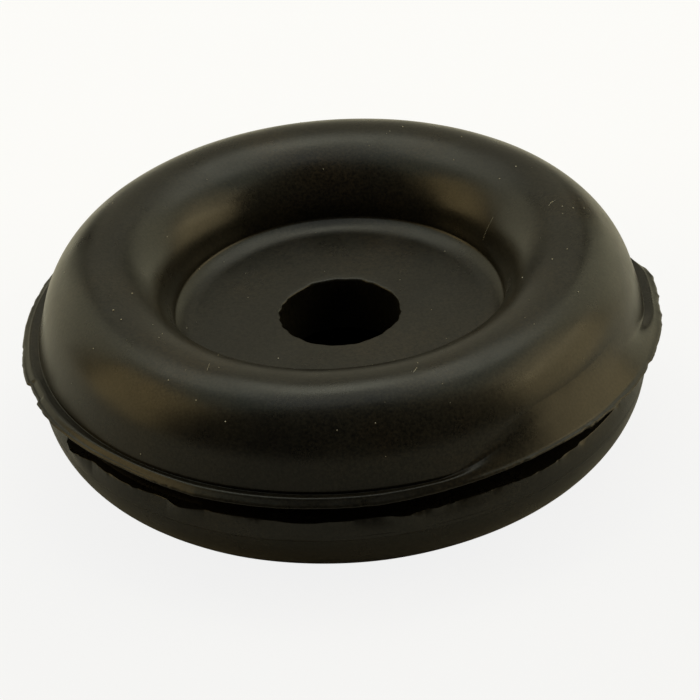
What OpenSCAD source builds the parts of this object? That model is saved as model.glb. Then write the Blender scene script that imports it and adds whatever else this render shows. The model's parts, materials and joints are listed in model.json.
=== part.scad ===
// Rubber panel grommet, moulded in one piece: two rounded ring flanges, a groove between them that
// takes the edge of a panel, and a thin web across the middle with a hole for a cable.
// The origin is the centre of the hole, halfway through the web, and +Z runs along the hole.
// Both flanges carry the thin lip that the mould left at the groove, whole on the upper one and torn
// down to a ragged fringe on the lower one.

/* [Hole and panel] */
// Diameter of the hole in the web
hole_d = 6.35; // [3:0.05:10]
// Width of the groove, which is the thickness of the panel that it takes
groove_w = 1.6; // [0.8:0.1:2.6]
// Diameter at the bottom of the groove, which is the hole in the panel
groove_d = 25.4; // [23:0.1:27]
// Radius in the two corners at the bottom of the groove
groove_corner_r = 0.3; // [0.1:0.05:0.35]

/* [Flanges] */
// Diameter of the upper flange, without the flare at its foot
upper_d = 31.75; // [30:0.25:36]
// Height of the upper flange from the groove to its crest
upper_h = 4.7; // [4:0.1:6]
// Diameter of the lower flange at its widest
lower_d = 32.3; // [30:0.1:36]
// Height of the lower flange from the groove to its crest
lower_h = 4.3; // [4:0.1:6]
// Diameter of the circle that each flange's crest follows
crest_d = 25; // [24:0.1:26.5]
// Radius of the rounded edge between the groove and a flange's outer side, which the lip covers above
edge_r = 0.5; // [0.2:0.05:0.8]

/* [Dish] */
// Diameter of the hollow inside each flange, at the foot of its steep side
dish_d = 17.6; // [17:0.1:21]
// Thickness of the web around the hole
web_t = 3.2; // [2:0.1:4]
// Diameter of the flat middle of the web
flat_d = 15.2; // [13:0.1:16]
// How far the web curves up between its flat middle and the foot of the dish's side
web_rise = 0.4; // [0.1:0.05:0.6]

/* [Upper lip] */
// How far the whole lip stands out past the flange
lip_reach = 1.1; // [0.8:0.05:2]
// Thickness of the lip at the crest of its bead
lip_t = 0.4; // [0.3:0.05:0.5]
// Height of the lip's upright edge, and of the crease where its bead meets the flange
lip_edge_h = 0.15; // [0.1:0.05:0.25]
// How far the foot of the flange flares out to the crease
flare_reach = 0.3; // [0.1:0.05:0.4]
// How far the torn lumps stand out past the lip, at the most
lump_h = 0.2; // [0.1:0.05:0.5]
// Depth of the nick torn in the edge of the lip
nick_depth = 0.2; // [0.1:0.05:0.4]

/* [Lower fringe] */
// How far the torn fringe stands out past the face of the lower flange, at the most
fringe_reach = 0.6; // [0.3:0.05:1.2]
// Thickness of the fringe
fringe_t = 0.2; // [0.1:0.05:0.3]

/* [Hidden] */
$fn = 180;

// Steps in each rounded corner and in each side of a crest
corner_steps = 8;
crest_steps = 16;
// Angle that the flare has turned through where it ends at the crease
flare_turn = 50;
// Angle between two points of a torn outline
tear_step = 1.5;
// The stretch of the lip that carries the lumps, and the place of the nick, as angles
lump_from = -40;
lump_to = 14;
nick_place = 192;
// Angles that the nick takes on its steep side and on its gentle side
nick_steep_side = 0.8;
nick_gentle_side = 3;

hole_r = hole_d / 2;
groove_r = groove_d / 2;
upper_r = upper_d / 2;
lower_r = lower_d / 2;
crest_r = crest_d / 2;
dish_r = dish_d / 2;
flat_r = flat_d / 2;
lip_r = upper_r + lip_reach;
web_top = web_t / 2;
groove_top = groove_w / 2;
crease_r = upper_r + flare_reach;
crease_z = groove_top + lip_edge_h;
fringe_r = lower_r - edge_r;
// Torn pieces and the lip start this far inside the flange, so that they are one with it
root_r = groove_r + groove_corner_r;

// A point at a radius and an angle
function polar(r, a) = r * [cos(a), sin(a)];

// Points on an arc from one angle to another, round or oval: size is its two half widths
function arc(centre, size, from, to, steps) = [
    for (i = [0:steps])
        let (a = from + (to - from) * i / steps)
        centre + [size.x * cos(a), size.y * sin(a)]
];

// A smooth window over a stretch of angles: 0 at and outside its ends, 1 in the middle
function window(a, from, to) =
    a <= from || a >= to ? 0 : sqrt(sin(180 * (a - from) / (to - from)));

// How far the lumps stand out past the lip at an angle
function lump(a) =
    lump_h * window(a, lump_from, lump_to) * (0.55 + 0.25 * sin(31 * a) + 0.2 * sin(53 * a + 40));

// How far the fringe stands out past the face of the lower flange at an angle: it is never quite gone
function fringe(a) =
    fringe_reach * max(0.08, 0.42 + 0.18 * sin(7 * a + 60) + 0.22 * sin(19 * a) + 0.18 * sin(43 * a + 25));

// Half of the section: from the hole out over the web, up the side of the dish, over the crest, down
// the outer side to the groove and in to the groove's bottom
module flange_section(flange_r, flange_h) {
    top = groove_top + flange_h;
    edge_top = groove_top + edge_r;
    foot = web_top + web_rise;
    // The web curves up on the arc that is flat at its start and ends at the foot of the dish's side
    curve_run = dish_r - flat_r;
    curve_r = (curve_run ^ 2 + web_rise ^ 2) / (2 * web_rise);
    curve_end = 270 + 2 * atan(web_rise / curve_run);
    polygon(concat(
        [[hole_r, 0], [hole_r, web_top]],
        arc([flat_r, web_top + curve_r], curve_r * [1, 1], 270, curve_end, corner_steps),
        arc([crest_r, foot], [crest_r - dish_r, top - foot], 180, 90, crest_steps),
        arc([crest_r, edge_top], [flange_r - crest_r, top - edge_top], 90, 0, crest_steps),
        arc([flange_r - edge_r, edge_top], edge_r * [1, 1], 0, -90, corner_steps),
        arc([root_r, groove_top - groove_corner_r], groove_corner_r * [1, 1], 90, 180, corner_steps),
        [[groove_r, 0]]
    ));
}

// The two ring flanges, the groove and the web, in one revolve
module body() {
    rotate_extrude() {
        flange_section(upper_r, upper_h);
        mirror([0, 1]) flange_section(lower_r, lower_h);
    }
}

// The whole lip: flat on the groove's side, with a bead on top that meets the flared foot of the flange
// in a crease
module lip() {
    bead_half = (lip_r - crease_r) / 2;
    flare_r = flare_reach / (1 - cos(flare_turn));
    flare_centre = [upper_r + flare_r, crease_z + flare_r * sin(flare_turn)];
    rotate_extrude()
        polygon(concat(
            [[root_r, groove_top], [lip_r, groove_top]],
            arc([lip_r - bead_half, crease_z], [bead_half, lip_t - lip_edge_h], 0, 180, crest_steps),
            arc(flare_centre, flare_r * [1, 1], 180 + flare_turn, 180, corner_steps),
            [[root_r, flare_centre.y]]
        ));
}

// A nick torn in the edge of the lip, steeper on one side; its cutter passes the lip on all sides
module nick() {
    outside = lip_r + lip_t;
    translate([0, 0, groove_top - lip_t])
        linear_extrude(3 * lip_t)
            polygon([
                polar(lip_r - nick_depth, nick_place),
                polar(outside, nick_place + nick_steep_side),
                polar(outside, nick_place - nick_gentle_side)
            ]);
}

// Lumps of torn rubber that stand out past the lip along one stretch
module lumps() {
    translate([0, 0, groove_top])
        linear_extrude(lip_edge_h)
            polygon(concat(
                [for (a = [lump_from:tear_step:lump_to]) polar(lip_r + lump(a), a)],
                [for (a = [lump_to:-tear_step:lump_from]) polar(upper_r, a)]
            ));
}

// The torn fringe around the lower flange
module lower_fringe() {
    translate([0, 0, -groove_top - fringe_t])
        linear_extrude(fringe_t)
            difference() {
                polygon([for (a = [0:tear_step:360 - tear_step]) polar(fringe_r + fringe(a), a)]);
                circle(r = root_r);
            }
}

module grommet() {
    color([0.1, 0.1, 0.09]) {
        body();
        difference() {
            lip();
            nick();
        }
        lumps();
        lower_fringe();
    }
}

grommet();
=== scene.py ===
import json
import math

import bpy
import numpy as np
from mathutils import Matrix, Vector

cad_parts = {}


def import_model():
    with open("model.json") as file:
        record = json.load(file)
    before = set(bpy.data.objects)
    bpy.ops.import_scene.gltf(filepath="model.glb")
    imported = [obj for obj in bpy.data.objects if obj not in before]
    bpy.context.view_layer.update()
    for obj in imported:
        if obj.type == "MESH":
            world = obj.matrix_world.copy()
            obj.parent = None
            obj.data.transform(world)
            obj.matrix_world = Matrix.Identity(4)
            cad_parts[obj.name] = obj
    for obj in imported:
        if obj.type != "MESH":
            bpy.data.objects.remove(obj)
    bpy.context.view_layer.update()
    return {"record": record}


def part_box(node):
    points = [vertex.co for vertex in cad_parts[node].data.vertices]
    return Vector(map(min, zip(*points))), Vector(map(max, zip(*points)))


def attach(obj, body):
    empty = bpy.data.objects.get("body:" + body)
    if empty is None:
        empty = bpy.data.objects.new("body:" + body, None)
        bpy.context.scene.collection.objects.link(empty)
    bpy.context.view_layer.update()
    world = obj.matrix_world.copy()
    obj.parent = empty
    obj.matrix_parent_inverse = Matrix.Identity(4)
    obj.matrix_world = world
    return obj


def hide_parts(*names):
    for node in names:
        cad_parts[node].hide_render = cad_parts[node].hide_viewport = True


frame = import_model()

# Everything below is in metres, in the frame of the CAD part: the origin is the middle of the cable
# hole, +Z is up along it, and the camera looks along +Y. Places round the ring are angles in degrees,
# from +X. Sizes are written in millimetres.
MM = 0.001

# Section of the moulded ring, the same as the CAD part's
HOLE_R = frame["record"]["mounts"][0]["dims"]["r_mm"] * MM
WEB_TOP = frame["record"]["mounts"][0]["dims"]["length_mm"] / 2 * MM
UPPER_CREST_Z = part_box("grommet")[1].z
LOWER_CREST_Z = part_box("grommet")[0].z
GROOVE_TOP = 0.8 * MM
GROOVE_R = 12.7 * MM
GROOVE_CORNER_R = 0.3 * MM
UPPER_R = 15.875 * MM
LOWER_R = 16.15 * MM
CREST_R = 12.5 * MM
DISH_R = 8.8 * MM
FLAT_R = 7.6 * MM
WEB_RISE = 0.4 * MM
EDGE_R = 0.5 * MM
# Radius of the hole's rounded rim, which is sharp on the CAD part
MOUTH_R = 0.12 * MM

# Unevenness of the hole's rim and of the crests: the width of the uneven band, the size of the
# unevenness, and its fewest and most waves round the ring
RIM_NOISE = (0.4 * MM, 0.05 * MM, 3, 30)
CREST_NOISE = (3 * MM, 0.03 * MM, 2, 14)
# The share of the rim's unevenness that the rest of the hole's wall has, before it is cubed
WALL_SHARE = 0.1

# The lip at the top of the groove: from the crease at the flange up to a narrow ridge, then down an outer
# face to an edge that droops a little, and more at the front. Its places across are shares of its width,
# from 0 at the crease to 1 at the edge, and below 0 inside the flange.
LIP_REACH = 1.1 * MM
LIP_DROOP = 0.08 * MM
FRONT_DROOP = 0.09 * MM
DROOP_FROM = 0.55
LIP_EDGE_H = 0.1 * MM
LIP_EDGE_ROUND = 0.035 * MM
LIP_ROOT_AT = -0.9
# The underside is level in to this share inside the flange, and bends at the same share outside it
UNDERSIDE_AT = 0.3
CREASE_R = UPPER_R + 0.24 * MM
CREASE_Z = GROOVE_TOP + 0.2 * MM
RIDGE_AT = 0.5
RIDGE_Z = GROOVE_TOP + 0.26 * MM
RIDGE_OUT = (RIDGE_AT + 0.13, RIDGE_Z - 0.07 * MM)
RIDGE_CORNER = (RIDGE_AT, RIDGE_Z + 0.03 * MM)
RIDGE_IN = (RIDGE_AT - 0.2, RIDGE_Z - 0.02 * MM)

# Where the crease is filled, a fillet leaves the flange at this height, bends round this corner and ends
# at this share of the lip. The face beyond it starts and ends this far over the top of the lip's edge.
FILLET_Z = 3.2 * MM
FILLET_CORNER = (-0.18, 2.09 * MM)
FILLET_AT = 0.75
FILLED_FACE_RISE = (-0.02 * MM, 0.07 * MM)
FILLED_FACE_STEPS = 4
# Elsewhere the lip's root runs this deep in the flange
SINK = 0.03 * MM

# Stretches of the lip: from, to and how soft the ends are
FILLED_STRETCH = (-62, -16, 26)
FRONT_STRETCH = (-146, -68, 18)
TORN_LINE_STRETCH = (-172, -128, 14)
# A fine torn line in the lip's face: its share of the width, its half width as a share, and its depth
TORN_LINE_AT = 0.78
TORN_LINE_HALF = 0.12
TORN_LINE_DEPTH = 0.06 * MM

# Where the lip's edge stands out or falls back: from, to, how soft the ends are, and how far in
# millimetres. It is wider at the far left up to a small torn step, wider at the right, and worn away at
# the far right with a tapering end.
LIP_STRETCHES = [(-176, -140, 12, 0.12), (-168, -162, 1, -0.14), (-30, -4, 8, 0.12), (13, 60, 10, -0.8)]
# Places where it is narrower, at the front right and front left: place, half width and how far
LIP_DIPS = [(-63, 22, -0.25), (-137, 18, -0.2)]
# Fine torn lumps of the lip's edge, coarser on the right: from, to, how many, their half widths in
# degrees and their heights in millimetres. They fade out inwards from the edge, at this share.
LIP_TEARS = [(-180, 180, 240, (0.4, 1.6), (-0.02, 0.02)), (-44, 14, 60, (0.4, 2.0), (-0.04, 0.04))]
TEAR_FROM = 0.8

# The torn fringe at the groove's bottom: how far it stands out past the face of the lower flange, and
# its larger teeth and gaps: place and half width in degrees, reach in millimetres
FRINGE_REACH = 0.3 * MM
FRINGE_TEETH = [
    (-152, 5, 0.5), (-140, 9, 0.2), (-123, 4, 0.3), (-100, 5, 0.15), (-86, 5, -0.12), (-80, 3, 0.15),
    (-68, 11, -0.12), (-51, 6, 0.1), (-32, 16, -0.1), (25, 6, 0.2), (62, 5, 0.25), (110, 8, 0.2),
    (150, 4, 0.25),
]
FRINGE_TEARS = [(0, 360, 260, (0.4, 2.2), (-0.06, 0.06))]
# The angle on the lower flange's oval where the body's own side ends, how far below it the fringe
# starts, and how much the fringe stands proud there so that it covers the body
FRINGE_FOOT = 7
FRINGE_OVERLAP = 3
FRINGE_PROUD = 0.003 * MM
# How late the fringe's reach and its tears come in on the way up, as powers
FRINGE_REACH_POWER = 1.3
FRINGE_TEAR_POWER = 8
# The fringe starts this far inside the flange, so that it is one with it
ROOT_DEPTH = 0.6 * MM

# Dust on the upper side: how many specks and fibres, and their sizes and places
SPECKS = 120
SPECK_R = (0.012 * MM, 0.036 * MM)
SPECK_STRETCH = (0.7, 1.3)
SPECK_FROM_R = 4 * MM
SPECK_TO_R = CREASE_R - 0.1 * MM
FIBRES = 4
FIBRE_R = 0.007 * MM
FIBRE_LENGTH = (0.4 * MM, 0.8 * MM)
FIBRE_PLACE_R = (8.5 * MM, 15 * MM)
FIBRE_BEND = 1.2
FIBRE_STEPS = 12
DUST_SIDES = 6

# Seeds of the random unevenness
BODY_SEED = 11
LIP_SEED = 5
FRINGE_SEED = 23
DUST_SEED = 41

# Steps round the ring, of the body and of the torn edges
BODY_STEPS = 540
EDGE_STEPS = 1800

# The camera, from the photo's outlines
CAMERA_ELEVATION = math.radians(33.35)
CAMERA_DISTANCE = 0.31794
CAMERA_TARGET = Vector((0.377, -0.409, -0.620)) * MM
CAMERA_ROLL = math.radians(-4.365)
CAMERA_LENS = 307.07
CAMERA_SENSOR = 36.0
CAMERA_CLIP = 0.01

# The floor: half its width, the share of its look that is its glow, the paper's colour under the grommet,
# which is painted shade, and in front of it and behind it, which is painted light that grows towards the
# back, with the places on Y where the last two are reached
FLOOR_HALF = 1.5
FLOOR_GLOW = 0.86
PAPER_UNDER_PAINTED_SHADE = (0.02, 0.02, 0.02)
PAPER_FRONT_PAINTED_LIGHT = (0.55, 0.55, 0.54)
PAPER_BACK_PAINTED_LIGHT = (0.96, 0.96, 0.94)
PAPER_FRONT_Y = -15 * MM
PAPER_BACK_Y = 25 * MM
# What little light the surroundings give
AMBIENT = 0.03

# The soft lamps, none of them on the camera's side: name, azimuth and elevation in degrees, width,
# height, brightness as the object sees it and colour
LAMP_DISTANCE = 0.5
LAMPS = [
    ("lamp_top", 90, 89, 0.30, 0.22, 0.8, (0.96, 1.00, 0.92)),
    ("lamp_high_left", 120, 62, 0.30, 0.22, 1.8, (1.00, 1.00, 0.80)),
    ("lamp_high_right", 60, 62, 0.30, 0.22, 1.9, (1.00, 1.00, 0.82)),
    ("lamp_back", 90, 24, 0.30, 0.46, 0.42, (1.00, 0.93, 0.66)),
    ("lamp_back_left", 135, 24, 0.30, 0.46, 0.95, (1.00, 0.94, 0.64)),
    ("lamp_back_right", 45, 24, 0.30, 0.46, 1.05, (1.00, 0.95, 0.64)),
    ("lamp_left", 180, 24, 0.30, 0.46, 1.75, (1.00, 0.75, 0.34)),
    ("lamp_left_high", 180, 62, 0.30, 0.22, 0.5, (0.85, 1.00, 0.82)),
    ("lamp_right", 0, 14, 0.42, 0.34, 1.9, (1.00, 0.80, 0.42)),
    ("lamp_right_middle", 0, 38, 0.30, 0.22, 1.8, (1.00, 0.84, 0.50)),
    ("lamp_right_high", 0, 62, 0.30, 0.22, 0.6, (0.90, 1.00, 0.80)),
]


def arc(centre, size, start, end, steps):
    """Points on a round or oval arc: size is its two half widths, the angles are in degrees."""
    t = np.radians(np.linspace(start, end, steps + 1))
    return np.stack([centre[0] + size[0] * np.cos(t), centre[1] + size[1] * np.sin(t)], 1)


def line(start, end, steps):
    """Points on a straight stretch, without its two ends."""
    t = np.linspace(0, 1, steps + 2)[1:-1, None]
    return np.array(start) * (1 - t) + np.array(end) * t


def bezier(start, corner, end, steps):
    """Points on a curve that leaves its start and meets its end along the lines to its corner."""
    t = np.linspace(0, 1, steps + 1)[:, None]
    return np.array(start) * (1 - t) ** 2 + np.array(corner) * (2 * t * (1 - t)) + np.array(end) * t**2


def ring_noise(rng, angles, lowest, highest):
    """Smooth random unevenness round a ring, about -1 to 1, from waves that fit it a whole number of
    times."""
    out = np.zeros_like(angles)
    total = 0
    for n in range(lowest, highest + 1):
        size = n**-0.5
        out += size * rng.normal() * np.cos(n * angles + rng.uniform(0, 2 * np.pi))
        total += size**2
    return out / math.sqrt(total)


def bump(angles, centre, half_width):
    """A round bump of height 1 at an angle in degrees, which has faded out at its half width."""
    away = (np.degrees(angles) - centre + 180) % 360 - 180
    return np.clip(1 - (away / half_width) ** 2, 0, 1)


def tear(seed, angles, rows):
    """The unevenness of a torn edge: lumps and notches of random width and height, strewn over one
    stretch of the ring for each row."""
    rng = np.random.default_rng(seed)
    out = np.zeros_like(angles)
    for start, end, count, half_widths, heights in rows:
        for _ in range(count):
            place = rng.uniform(start, end)
            height = rng.uniform(*heights)
            out += height * MM * bump(angles, place, rng.uniform(*half_widths))
    return out


def stretch(angles, start, end, soft):
    """1 between two angles in degrees, with soft ends of that many degrees."""
    middle = (start + end) / 2
    away = np.abs((np.degrees(angles) - middle + 180) % 360 - 180)
    t = np.clip(((end - start) / 2 - away) / soft + 0.5, 0, 1)
    return t * t * (3 - 2 * t)


def rise(share, start):
    """0 up to a share, then evenly up to 1 at a share of 1."""
    return np.clip((share - start) / (1 - start), 0, 1)


def revolve_mesh(name, r, z, angles, flat=()):
    """A closed ring mesh from arrays of radius and height, one row for each angle. The faces that start at
    the flat columns are shaded flat, so that the corners beside them stay crisp."""
    steps, count = r.shape
    co = np.stack([r * np.cos(angles)[:, None], r * np.sin(angles)[:, None], z], 2).reshape(-1, 3)
    i = np.arange(steps)[:, None]
    j = np.arange(count)[None, :]
    i_next = (i + 1) % steps
    j_next = (j + 1) % count
    corners = [i * count + j, i_next * count + j, i_next * count + j_next, i * count + j_next]
    faces = np.stack(corners, 2).reshape(-1, 4)
    mesh = bpy.data.meshes.new(name)
    mesh.from_pydata(co.tolist(), [], faces.tolist())
    smooth = np.tile(~np.isin(np.arange(count), flat), steps)
    mesh.polygons.foreach_set("use_smooth", smooth.tolist())
    mesh.update()
    return add_piece(name, mesh)


def add_piece(name, data):
    """An object with the given mesh, lamp or camera, in the scene."""
    piece = bpy.data.objects.new(name, data)
    bpy.context.scene.collection.objects.link(piece)
    return piece


def straight_start(size, centre, end):
    """The angle at which a straight line to an outside point leaves an oval without a bend."""
    x = (end[0] - centre[0]) / size[0]
    y = (end[1] - centre[1]) / size[1]
    return math.degrees(math.atan2(y, x) + math.acos(1 / math.hypot(x, y)))


def outer_side(flange_r, crest_z, end, foot_angle=None):
    """The flange's outer side, from the crest down: an oval that runs on straight to its end, without a
    bend unless an angle on the oval is given where it stops."""
    centre = (CREST_R, GROOVE_TOP + EDGE_R)
    size = (flange_r - CREST_R, crest_z - centre[1])
    if foot_angle is None:
        foot_angle = straight_start(size, centre, end)
    oval = arc(centre, size, 90, foot_angle, 22)[1:]
    return np.concatenate([oval, line(oval[-1], end, 8), [end]])


def half_profile(crest_z, outer):
    """Half of the section: from the hole over the web, over the crest and down to the groove's bottom."""
    foot = WEB_TOP + WEB_RISE
    curve_run = DISH_R - FLAT_R
    curve_r = (curve_run**2 + WEB_RISE**2) / (2 * WEB_RISE)
    curve_end = -90 + 2 * math.degrees(math.atan(WEB_RISE / curve_run))
    inner_size = (CREST_R - DISH_R, crest_z - foot)
    groove_corner = (GROOVE_R + GROOVE_CORNER_R, GROOVE_TOP - GROOVE_CORNER_R)
    mouth = (HOLE_R + MOUTH_R, WEB_TOP - MOUTH_R)
    return np.concatenate([
        line((HOLE_R, 0), (HOLE_R, mouth[1]), 3),
        arc(mouth, (MOUTH_R, MOUTH_R), 180, 90, 4),
        line((mouth[0], WEB_TOP), (FLAT_R, WEB_TOP), 9),
        arc((FLAT_R, WEB_TOP + curve_r), (curve_r, curve_r), -90, curve_end, 10),
        # The foot of the dish's side is a crease: the oval's first point lies close by and keeps it crisp
        arc((CREST_R, foot), inner_size, 179.2, 90, 24),
        outer,
        line((outer[-1][0], GROOVE_TOP), (groove_corner[0], GROOVE_TOP), 3),
        arc(groove_corner, (GROOVE_CORNER_R, GROOVE_CORNER_R), 90, 180, 3),
    ])


def upper_flange_side():
    """The upper flange's outer side, from its crest to the crease where the lip starts."""
    return outer_side(UPPER_R, UPPER_CREST_Z, (CREASE_R, CREASE_Z))


def grommet_body():
    """The two ring flanges, the groove and the web, slightly uneven as moulded rubber is."""
    upper = half_profile(UPPER_CREST_Z, upper_flange_side())
    lower_end = (LOWER_R - EDGE_R, GROOVE_TOP)
    lower = half_profile(-LOWER_CREST_Z, outer_side(LOWER_R, -LOWER_CREST_Z, lower_end, FRINGE_FOOT))
    profile = np.concatenate([upper, lower[::-1] * [1, -1]])
    angles = np.linspace(0, 2 * np.pi, BODY_STEPS, endpoint=False)
    rng = np.random.default_rng(BODY_SEED)
    r = np.repeat(profile[None, :, 0], BODY_STEPS, 0)
    z = np.repeat(profile[None, :, 1], BODY_STEPS, 0)
    # The hole's upper rim is a little rough, and its wall less so
    width, size, lowest, highest = RIM_NOISE
    rim = np.clip(1 - (r - HOLE_R) / width, 0, 1) * np.clip(z / WEB_TOP, WALL_SHARE, 1) ** 3
    r += rim * (size * ring_noise(rng, angles, lowest, highest)[:, None])
    # The crests are not quite even
    width, size, lowest, highest = CREST_NOISE
    crest = np.clip(1 - np.abs(r - CREST_R) / width, 0, 1) * np.sign(z)
    z += crest * (size * ring_noise(rng, angles, lowest, highest)[:, None])
    return revolve_mesh("grommet_body", r, z, angles)


def lip_edge(angles):
    """How far the upper lip's edge stands out past its even circle, all round, without its fine tears."""
    out = np.zeros_like(angles)
    for start, end, soft, reach in LIP_STRETCHES:
        out += reach * MM * stretch(angles, start, end, soft)
    for place, half_width, reach in LIP_DIPS:
        out += reach * MM * bump(angles, place, half_width)
    return out


def lip_sections(width):
    """The lip's section twice, point for point: as it is on most of the ring, and where its crease is
    filled. Each point is its share of the lip's width and its height."""
    edge_z = GROOVE_TOP - LIP_DROOP
    face_z = edge_z + LIP_EDGE_H
    rounding = LIP_EDGE_ROUND / width
    under = [
        [LIP_ROOT_AT, GROOVE_TOP],
        [-UNDERSIDE_AT, GROOVE_TOP],
        [UNDERSIDE_AT, GROOVE_TOP - LIP_DROOP / 4],
    ]
    edge = arc((1 - rounding, edge_z + LIP_EDGE_ROUND), (rounding, LIP_EDGE_ROUND), -90, 30, 6)
    face = np.concatenate([
        line((1, face_z), RIDGE_OUT, 5),
        bezier(RIDGE_OUT, RIDGE_CORNER, RIDGE_IN, 8),
        line(RIDGE_IN, (0, CREASE_Z), 4),
        [[0, CREASE_Z]],
    ])
    # Behind the crease the section runs up inside the flange
    flange = upper_flange_side()
    hidden_z = np.linspace(CREASE_Z, FILLET_Z, 9)[1:]
    hidden_r = np.interp(-hidden_z, -flange[:, 1], flange[:, 0])
    hidden = np.stack([(hidden_r - SINK - CREASE_R) / width, hidden_z], 1)
    whole = np.concatenate([under, edge, face, hidden, [[LIP_ROOT_AT, FILLET_Z]]])

    # Filled: an edge that doesn't droop, then the lip's face and a fillet up to the flange, which starts
    # just under the flange's skin
    filled = whole.copy()
    face_start = len(under) + len(edge) - 1
    filled[len(under) - 1, 1] = GROOVE_TOP
    filled[len(under):face_start, 1] += LIP_DROOP
    edge_top = face_z + LIP_DROOP
    fillet_start = ((hidden_r[-1] - SINK / 3 - CREASE_R) / width, FILLET_Z)
    fillet_end = (FILLET_AT, edge_top + FILLED_FACE_RISE[1])
    fillet_steps = len(whole) - face_start - FILLED_FACE_STEPS - 2
    filled[face_start:-1] = np.concatenate([
        line((1, edge_top + FILLED_FACE_RISE[0]), fillet_end, FILLED_FACE_STEPS),
        bezier(fillet_end, FILLET_CORNER, fillet_start, fillet_steps),
    ])
    return whole, filled


def upper_lip():
    """The lip at the top of the groove, with a torn step in it on the left. On the front right its crease
    is filled, and the flange runs on smoothly to its edge."""
    width = LIP_REACH + UPPER_R - CREASE_R
    whole, filled = lip_sections(width)
    angles = np.linspace(0, 2 * np.pi, EDGE_STEPS, endpoint=False)
    fill = stretch(angles, *FILLED_STRETCH)[:, None]
    share = whole[None, :, 0] * (1 - fill) + filled[None, :, 0] * fill
    z = whole[None, :, 1] * (1 - fill) + filled[None, :, 1] * fill
    # On the left the outer face is torn along a fine dark line
    torn = np.clip(1 - np.abs(share - TORN_LINE_AT) / TORN_LINE_HALF, 0, 1) * (z > GROOVE_TOP)
    z = z - TORN_LINE_DEPTH * torn * stretch(angles, *TORN_LINE_STRETCH)[:, None]
    # At the front the outer face droops more, and is as much shorter
    front = stretch(angles, *FRONT_STRETCH)[:, None] * (1 - fill)
    z -= FRONT_DROOP * front * rise(share, DROOP_FROM)
    reach = width + lip_edge(angles)[:, None] - FRONT_DROOP * front
    r = CREASE_R + np.where(share > 0, share * reach, share * width)
    r += rise(share, TEAR_FROM) * tear(LIP_SEED, angles, LIP_TEARS)[:, None]
    # The underside and the faces that close the ring inside the flange are flat
    last = len(whole) - 1
    return revolve_mesh("upper_lip", r, z, angles, flat=(0, 1, 2, last - 1, last))


def fringe_reach(angles):
    """How far the torn fringe stands out past the face of the lower flange, all round, without its fine
    tears."""
    out = np.full_like(angles, FRINGE_REACH)
    for place, half_width, reach in FRINGE_TEETH:
        out += reach * MM * bump(angles, place, half_width)
    return out


def lower_fringe():
    """The fringe at the bottom of the groove, torn down from a lip like the upper one. Its outer side
    leaves the flange's oval without a bend and narrows to a crisp, ragged corner at the groove."""
    angles = np.linspace(0, 2 * np.pi, EDGE_STEPS, endpoint=False)
    face_r = LOWER_R - EDGE_R
    inside = face_r - ROOT_DEPTH
    centre_z = -GROOVE_TOP - EDGE_R
    size = (LOWER_R - CREST_R, -LOWER_CREST_Z + centre_z)
    # It starts a little below the end of the flange's own oval, and covers that end
    oval = arc((CREST_R, centre_z), size, -FRINGE_FOOT - FRINGE_OVERLAP, 0, 6)
    corner = (LOWER_R, -GROOVE_TOP)
    side = np.concatenate([oval, line(oval[-1], corner, 9), [corner]])
    foot_z = side[0, 1]
    profile = np.concatenate([
        [[inside, foot_z]],
        side + [[FRINGE_PROUD, 0]],
        line(corner, (inside, -GROOVE_TOP), 3),
        [[inside, -GROOVE_TOP]],
    ])
    r = np.repeat(profile[None, :, 0], EDGE_STEPS, 0)
    z = np.repeat(profile[None, :, 1], EDGE_STEPS, 0)
    up = np.clip((z - foot_z) / (-GROOVE_TOP - foot_z), 0, 1)
    out = np.clip((r - inside) / (LOWER_R - inside), 0, 1)
    r += up**FRINGE_REACH_POWER * out * (face_r + fringe_reach(angles) - LOWER_R)[:, None]
    r += up**FRINGE_TEAR_POWER * out * tear(FRINGE_SEED, angles, FRINGE_TEARS)[:, None]
    # The faces from the corner inwards, and those that close the ring inside the flange, are flat
    return revolve_mesh("lower_fringe", r, z, angles, flat=[0, *range(len(side), len(profile))])


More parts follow.
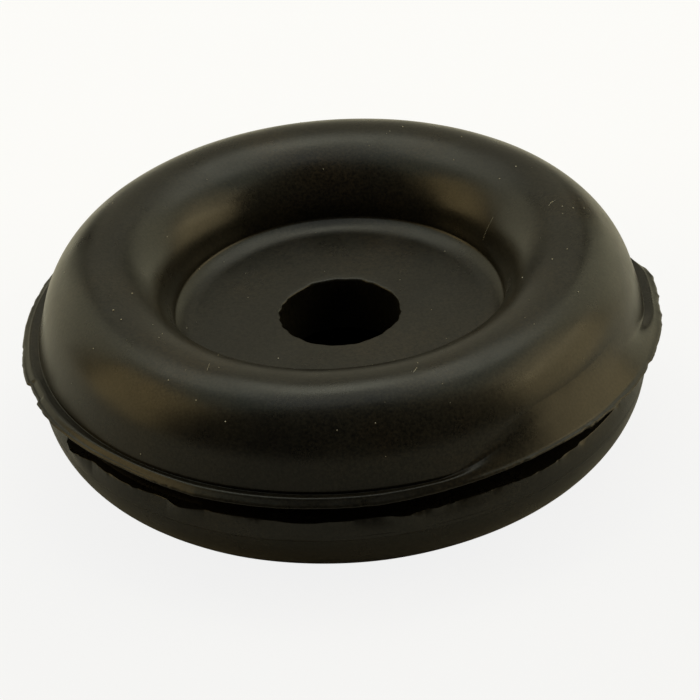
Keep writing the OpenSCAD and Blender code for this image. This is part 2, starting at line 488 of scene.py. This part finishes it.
def dust():
    """Specks and short fibres strewn over the upper side, as one mesh."""
    rng = np.random.default_rng(DUST_SEED)
    profile = half_profile(UPPER_CREST_Z, upper_flange_side())
    visible = profile[: np.argmax(profile[:, 0]) + 1]
    turn = np.linspace(0, 2 * np.pi, DUST_SIDES, endpoint=False)
    co = []
    faces = []

    def on_surface(x, y):
        """The point of the upper side above a place."""
        return np.array([x, y, np.interp(math.hypot(x, y), visible[:, 0], visible[:, 1])])

    def add_rings(rings):
        """Joins rings of points into a skin."""
        base = len(co)
        for ring in rings:
            co.extend(ring)
        for i in range(len(rings) - 1):
            for j in range(DUST_SIDES):
                k = (j + 1) % DUST_SIDES
                corners = (j, k, DUST_SIDES + k, DUST_SIDES + j)
                faces.append([base + i * DUST_SIDES + n for n in corners])

    for _ in range(SPECKS):
        r = math.sqrt(rng.uniform(SPECK_FROM_R**2, SPECK_TO_R**2))
        angle = rng.uniform(0, 2 * np.pi)
        place = on_surface(r * math.cos(angle), r * math.sin(angle))
        size = rng.uniform(*SPECK_R) * rng.uniform(*SPECK_STRETCH, 3)
        rings = []
        for lift in np.radians((-80, -35, 0, 35, 80)):
            level = np.cos(lift)
            ring = np.stack([level * np.cos(turn), level * np.sin(turn), 0 * turn + np.sin(lift)], 1)
            rings.append((place + ring * size).tolist())
        add_rings(rings)
    for _ in range(FIBRES):
        r = rng.uniform(*FIBRE_PLACE_R)
        angle = rng.uniform(0, 2 * np.pi)
        heading = rng.uniform(0, 2 * np.pi)
        bend = rng.uniform(-FIBRE_BEND, FIBRE_BEND)
        step = rng.uniform(*FIBRE_LENGTH) / FIBRE_STEPS
        x = r * math.cos(angle)
        y = r * math.sin(angle)
        rings = []
        for t in np.linspace(0, 1, FIBRE_STEPS):
            way = heading + bend * t
            x += step * math.cos(way)
            y += step * math.sin(way)
            across = np.array([-math.sin(way), math.cos(way), 0])
            ring = np.cos(turn)[:, None] * across + np.sin(turn)[:, None] * np.array([0, 0, 1])
            lifted = on_surface(x, y) + np.array([0, 0, FIBRE_R])
            rings.append((lifted + ring * FIBRE_R).tolist())
        add_rings(rings)
    mesh = bpy.data.meshes.new("dust")
    mesh.from_pydata(co, [], faces)
    mesh.update()
    return add_piece("dust", mesh)


def new_material(name):
    """A new node material, with its node tree and Principled shader."""
    material = bpy.data.materials.new(name)
    material.use_nodes = True
    tree = material.node_tree
    return material, tree, tree.nodes["Principled BSDF"]


def noise(tree, coordinates, scale, detail, roughness=0.5):
    """A noise texture in the object's own coordinates, in metres."""
    node = tree.nodes.new("ShaderNodeTexNoise")
    node.inputs["Scale"].default_value = scale
    node.inputs["Detail"].default_value = detail
    node.inputs["Roughness"].default_value = roughness
    tree.links.new(coordinates, node.inputs["Vector"])
    return node.outputs["Fac"]


def ramp(tree, factor, stops):
    """A colour ramp of (place, colour) stops."""
    node = tree.nodes.new("ShaderNodeValToRGB")
    elements = node.color_ramp.elements
    while len(elements) < len(stops):
        elements.new(0.5)
    for element, (place, colour) in zip(elements, stops):
        element.position = place
        element.color = (*colour, 1)
    tree.links.new(factor, node.inputs["Fac"])
    return node.outputs["Color"]


def to_range(tree, factor, low, high, from_low=0.3, from_high=0.7):
    """A factor stretched from one range to another: noise mostly lies within the range it starts with."""
    node = tree.nodes.new("ShaderNodeMapRange")
    node.inputs["From Min"].default_value = from_low
    node.inputs["From Max"].default_value = from_high
    node.inputs["To Min"].default_value = low
    node.inputs["To Max"].default_value = high
    tree.links.new(factor, node.inputs["Value"])
    return node.outputs["Result"]


def maths(tree, operation, first, second):
    """A maths step on a link, with a number or another link."""
    node = tree.nodes.new("ShaderNodeMath")
    node.operation = operation
    tree.links.new(first, node.inputs[0])
    if isinstance(second, float):
        node.inputs[1].default_value = second
    else:
        tree.links.new(second, node.inputs[1])
    return node.outputs[0]


def vector_maths(tree, operation, first, second=None, socket=1):
    """A vector maths step on one link, or on two, the second of which goes to the given socket."""
    node = tree.nodes.new("ShaderNodeVectorMath")
    node.operation = operation
    tree.links.new(first, node.inputs[0])
    if second is not None:
        tree.links.new(second, node.inputs[socket])
    return node.outputs["Value" if operation == "LENGTH" else "Vector"]


def bumps(tree, height, strength, distance, normal=None):
    """A bump of a height in metres, on top of another one if given."""
    node = tree.nodes.new("ShaderNodeBump")
    node.inputs["Strength"].default_value = strength
    node.inputs["Distance"].default_value = distance
    tree.links.new(height, node.inputs["Height"])
    if normal is not None:
        tree.links.new(normal, node.inputs["Normal"])
    return node.outputs["Normal"]


def rubber_material():
    """Moulded black rubber: dark olive grey, faintly mottled, with a fine matt grain in a soft gloss."""
    material, tree, shader = new_material("black_rubber")
    coordinates = tree.nodes.new("ShaderNodeTexCoord").outputs["Object"]
    mottle = ramp(tree, noise(tree, coordinates, scale=160, detail=4), [
        (0.3, (0.006, 0.0055, 0.0045)),
        (0.55, (0.010, 0.009, 0.0065)),
        (0.75, (0.016, 0.012, 0.007)),
    ])
    # A fine speckle, lighter and darker than the mottled tone
    speckle = to_range(tree, noise(tree, coordinates, scale=6500, detail=2, roughness=0.7), 0.2, 1.9)
    tree.links.new(vector_maths(tree, "SCALE", mottle, speckle, "Scale"), shader.inputs["Base Color"])
    # A gloss that varies from spot to spot
    gloss = to_range(tree, noise(tree, coordinates, scale=420, detail=5, roughness=0.6), 0.25, 0.36)
    tree.links.new(gloss, shader.inputs["Roughness"])
    shader.inputs["IOR"].default_value = 1.40
    # A coarse unevenness with a fine grain on it
    coarse = bumps(tree, noise(tree, coordinates, scale=500, detail=3), 0.3, 0.02 * MM)
    grain = noise(tree, coordinates, scale=4200, detail=2, roughness=0.6)
    tree.links.new(bumps(tree, grain, 0.5, 0.008 * MM, coarse), shader.inputs["Normal"])
    return material


def dust_material():
    """Pale dust, each speck a little lighter or darker."""
    material, tree, shader = new_material("pale_dust")
    coordinates = tree.nodes.new("ShaderNodeTexCoord").outputs["Object"]
    colour = ramp(tree, noise(tree, coordinates, scale=900, detail=2), [
        (0.35, (0.25, 0.23, 0.18)),
        (0.65, (0.8, 0.78, 0.68)),
    ])
    tree.links.new(colour, shader.inputs["Base Color"])
    shader.inputs["Roughness"].default_value = 0.7
    return material


def paper_material():
    """Pale paper that glows for the camera, so that it comes out near white round a soft shadow.

    The glow stops under the grommet, where it would show through the hole."""
    material, tree, shader = new_material("pale_floor")
    shader.inputs["Roughness"].default_value = 0.9
    glow = tree.nodes.new("ShaderNodeEmission")
    glow.inputs["Color"].default_value = (1, 1, 1, 1)
    glow.inputs["Strength"].default_value = 1.0
    path = tree.nodes.new("ShaderNodeLightPath")
    coordinates = tree.nodes.new("ShaderNodeTexCoord").outputs["Object"]
    # The paper under the grommet is painted in deep shade, a near-black colour, so that the hole is black
    outside = maths(tree, "GREATER_THAN", vector_maths(tree, "LENGTH", coordinates), GROOVE_R)
    shade = ramp(tree, outside, [(0.0, PAPER_UNDER_PAINTED_SHADE), (1.0, (1, 1, 1))])
    # Behind the grommet the paper's colour is lighter than in front of it: painted light, as it lies
    # nearer to the lamps
    across = tree.nodes.new("ShaderNodeSeparateXYZ")
    tree.links.new(coordinates, across.inputs[0])
    depth = to_range(tree, across.outputs["Y"], 0.0, 1.0, PAPER_FRONT_Y, PAPER_BACK_Y)
    painted_light_tone = ramp(tree, depth, [(0.0, PAPER_FRONT_PAINTED_LIGHT), (1.0, PAPER_BACK_PAINTED_LIGHT)])
    tree.links.new(vector_maths(tree, "MULTIPLY", shade, painted_light_tone), shader.inputs["Base Color"])
    seen = maths(tree, "MULTIPLY", path.outputs["Is Camera Ray"], outside)
    mix = tree.nodes.new("ShaderNodeMixShader")
    tree.links.new(maths(tree, "MULTIPLY", seen, FLOOR_GLOW), mix.inputs["Fac"])
    tree.links.new(shader.outputs[0], mix.inputs[1])
    tree.links.new(glow.outputs[0], mix.inputs[2])
    tree.links.new(mix.outputs[0], tree.nodes["Material Output"].inputs["Surface"])
    return material


def floor():
    """A pale floor under the lower crest, with painted shade under the grommet and painted light behind
    it.
    """
    half = FLOOR_HALF
    corners = [(-half, -half, 0), (half, -half, 0), (half, half, 0), (-half, half, 0)]
    mesh = bpy.data.meshes.new("floor")
    mesh.from_pydata(corners, [], [(0, 1, 2, 3)])
    mesh.materials.append(paper_material())
    piece = add_piece("floor", mesh)
    piece.location.z = LOWER_CREST_Z


def world():
    """White to the camera, and nearly dark to the object."""
    space = bpy.data.worlds.new("studio")
    bpy.context.scene.world = space
    space.use_nodes = True
    tree = space.node_tree
    ambient = tree.nodes["Background"]
    ambient.inputs["Color"].default_value = (1, 1, 1, 1)
    ambient.inputs["Strength"].default_value = AMBIENT
    white = tree.nodes.new("ShaderNodeBackground")
    white.inputs["Strength"].default_value = 1.0
    path = tree.nodes.new("ShaderNodeLightPath")
    mix = tree.nodes.new("ShaderNodeMixShader")
    tree.links.new(path.outputs["Is Camera Ray"], mix.inputs["Fac"])
    tree.links.new(ambient.outputs[0], mix.inputs[1])
    tree.links.new(white.outputs[0], mix.inputs[2])
    tree.links.new(mix.outputs[0], tree.nodes["World Output"].inputs["Surface"])


def softbox(name, azimuth, elevation, width, height, radiance, colour):
    """A soft lamp that faces the object, of a given brightness and colour as the object sees it."""
    azimuth = math.radians(azimuth)
    elevation = math.radians(elevation)
    level = math.cos(elevation)
    way = Vector((math.cos(azimuth) * level, math.sin(azimuth) * level, math.sin(elevation)))
    lamp = bpy.data.lights.new(name, "AREA")
    lamp.shape = "RECTANGLE"
    lamp.size = width
    lamp.size_y = height
    lamp.energy = radiance * math.pi * width * height
    lamp.color = colour
    piece = add_piece(name, lamp)
    piece.location = way * LAMP_DISTANCE
    piece.rotation_euler = (-way).to_track_quat("-Z", "Y").to_euler()


def camera():
    """The camera at the photo's angle, rolled as the photo is."""
    data = bpy.data.cameras.new("camera")
    data.lens = CAMERA_LENS
    data.sensor_width = CAMERA_SENSOR
    data.clip_start = CAMERA_CLIP
    piece = add_piece("camera", data)
    back = Vector((0, -math.cos(CAMERA_ELEVATION), math.sin(CAMERA_ELEVATION)))
    piece.location = CAMERA_TARGET + back * CAMERA_DISTANCE
    turn = (-back).to_track_quat("-Z", "Y").to_matrix()
    piece.rotation_euler = (turn @ Matrix.Rotation(CAMERA_ROLL, 3, "Z")).to_euler()
    bpy.context.scene.camera = piece


def main():
    bpy.context.scene.view_settings.view_transform = "Standard"
    camera()
    rubber = rubber_material()
    pieces = [grommet_body(), upper_lip(), lower_fringe()]
    for piece in pieces:
        piece.data.materials.append(rubber)
        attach(piece, "root")
    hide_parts("grommet")
    specks = dust()
    specks.data.materials.append(dust_material())
    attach(specks, "root")
    floor()
    world()
    for lamp in LAMPS:
        softbox(*lamp)


main()
